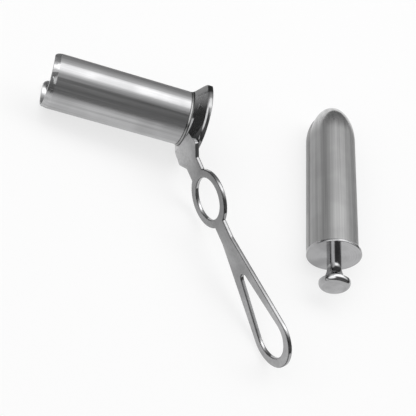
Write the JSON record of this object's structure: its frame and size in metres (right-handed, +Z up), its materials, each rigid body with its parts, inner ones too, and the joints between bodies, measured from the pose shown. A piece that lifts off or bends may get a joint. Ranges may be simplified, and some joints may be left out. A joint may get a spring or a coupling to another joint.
{
  "type": "anal speculum with obturator",
  "caption": "Slotted tube anal speculum with a trumpet collar and a flat ring and loop handle, lying beside its bullet nosed obturator.",
  "frame": {"origin": "on the table, under the middle of the instrument and its obturator as they lie", "axes": "+Z up from the table; the speculum's tube points to -X and its handle to -Y, and the obturator's nose points to +Y"},
  "size_m": [0.2056, 0.1924, 0.049],
  "materials": {
    "tube_steel": "satin, brushed along the tube",
    "handle_steel": "satin flats, mirror polished collar and edges",
    "braze_metal": "polished",
    "obturator_satin": "satin, polished towards the nose",
    "obturator_polish": "mirror polished"
  },
  "bodies": {
    "root": {"tube": "tube_steel", "handle": "handle_steel", "braze": "braze_metal", "obturator_body": "obturator_satin", "obturator_flange": "obturator_polish", "obturator_knob": "obturator_polish"}
  },
  "joints": []
}
